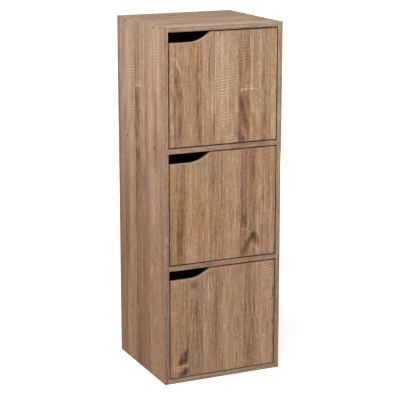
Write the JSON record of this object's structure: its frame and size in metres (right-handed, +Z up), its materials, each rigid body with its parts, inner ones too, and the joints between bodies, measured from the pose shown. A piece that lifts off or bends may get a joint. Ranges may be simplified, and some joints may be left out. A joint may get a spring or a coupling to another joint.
{
  "type": "cube shelf with doors",
  "caption": "Tall narrow wood-decor storage cabinet of stacked cubes, each closed by a flush pivoting door with a curved finger cut-out at its top corner.",
  "frame": {"origin": "centre of the footprint, on the floor", "axes": "+X to the right seen from the front, +Y to the back, +Z up; the doors are on the -Y side"},
  "size_m": [0.32, 0.3, 0.9],
  "materials": {
    "wood_decor": "satin rough-sawn oak print on board",
    "edge_band": "satin wood print",
    "back_board": "matt print on thin fibreboard",
    "bronze_plate": "dark bronze plating",
    "zinc_steel": "zinc plated",
    "bush_plastic": "moulded brown nylon",
    "catch_plastic": "moulded brown",
    "magnet": "matt ferrite",
    "dowel_wood": "fluted beech"
  },
  "bodies": {
    "carcass": {"left_side_panel": "wood_decor", "right_side_panel": "wood_decor", "bottom_panel": "wood_decor", "lower_shelf": "wood_decor", "upper_shelf": "wood_decor", "top_panel": "wood_decor", "back_panel": "back_board", "left_side_front_band": "edge_band", "left_side_top_band": "edge_band", "right_side_front_band": "edge_band", "right_side_top_band": "edge_band", "bottom_panel_front_band": "edge_band", "lower_shelf_front_band": "edge_band", "upper_shelf_front_band": "edge_band", "top_panel_front_band": "edge_band", "left_side_screws": "bronze_plate", "right_side_screws": "bronze_plate", "shelf_dowels": "dowel_wood", "catch_screws": "zinc_steel", "top_lower_pivot_bush": "bush_plastic", "top_upper_pivot_bush": "bush_plastic", "top_catch_housing": "catch_plastic", "top_catch_magnet": "magnet", "top_catch_pole_plates": "zinc_steel", "middle_lower_pivot_bush": "bush_plastic", "middle_upper_pivot_bush": "bush_plastic", "middle_catch_housing": "catch_plastic", "middle_catch_magnet": "magnet", "middle_catch_pole_plates": "zinc_steel", "bottom_lower_pivot_bush": "bush_plastic", "bottom_upper_pivot_bush": "bush_plastic", "bottom_catch_housing": "catch_plastic", "bottom_catch_magnet": "magnet", "bottom_catch_pole_plates": "zinc_steel"},
    "top_leaf": {"top_door": "wood_decor", "top_door_edge_band": "edge_band", "top_door_lower_pivot_pin": "bronze_plate", "top_door_upper_pivot_pin": "bronze_plate", "top_door_strike_plate": "zinc_steel", "top_door_strike_screws": "zinc_steel"},
    "middle_leaf": {"middle_door": "wood_decor", "middle_door_edge_band": "edge_band", "middle_door_lower_pivot_pin": "bronze_plate", "middle_door_upper_pivot_pin": "bronze_plate", "middle_door_strike_plate": "zinc_steel", "middle_door_strike_screws": "zinc_steel"},
    "bottom_leaf": {"bottom_door": "wood_decor", "bottom_door_edge_band": "edge_band", "bottom_door_lower_pivot_pin": "bronze_plate", "bottom_door_upper_pivot_pin": "bronze_plate", "bottom_door_strike_plate": "zinc_steel", "bottom_door_strike_screws": "zinc_steel"}
  },
  "joints": [
    {"name": "top_hinge", "type": "hinge", "parent": "carcass", "child": "top_leaf", "pos_m": [0.13375, -0.144, 0.746], "axis": [0, 0, 1], "range_deg": [0, 120]},
    {"name": "middle_hinge", "type": "hinge", "parent": "carcass", "child": "middle_leaf", "pos_m": [0.13375, -0.144, 0.45], "axis": [0, 0, 1], "range_deg": [0, 120]},
    {"name": "bottom_hinge", "type": "hinge", "parent": "carcass", "child": "bottom_leaf", "pos_m": [0.13375, -0.144, 0.154], "axis": [0, 0, 1], "range_deg": [0, 120]}
  ]
}
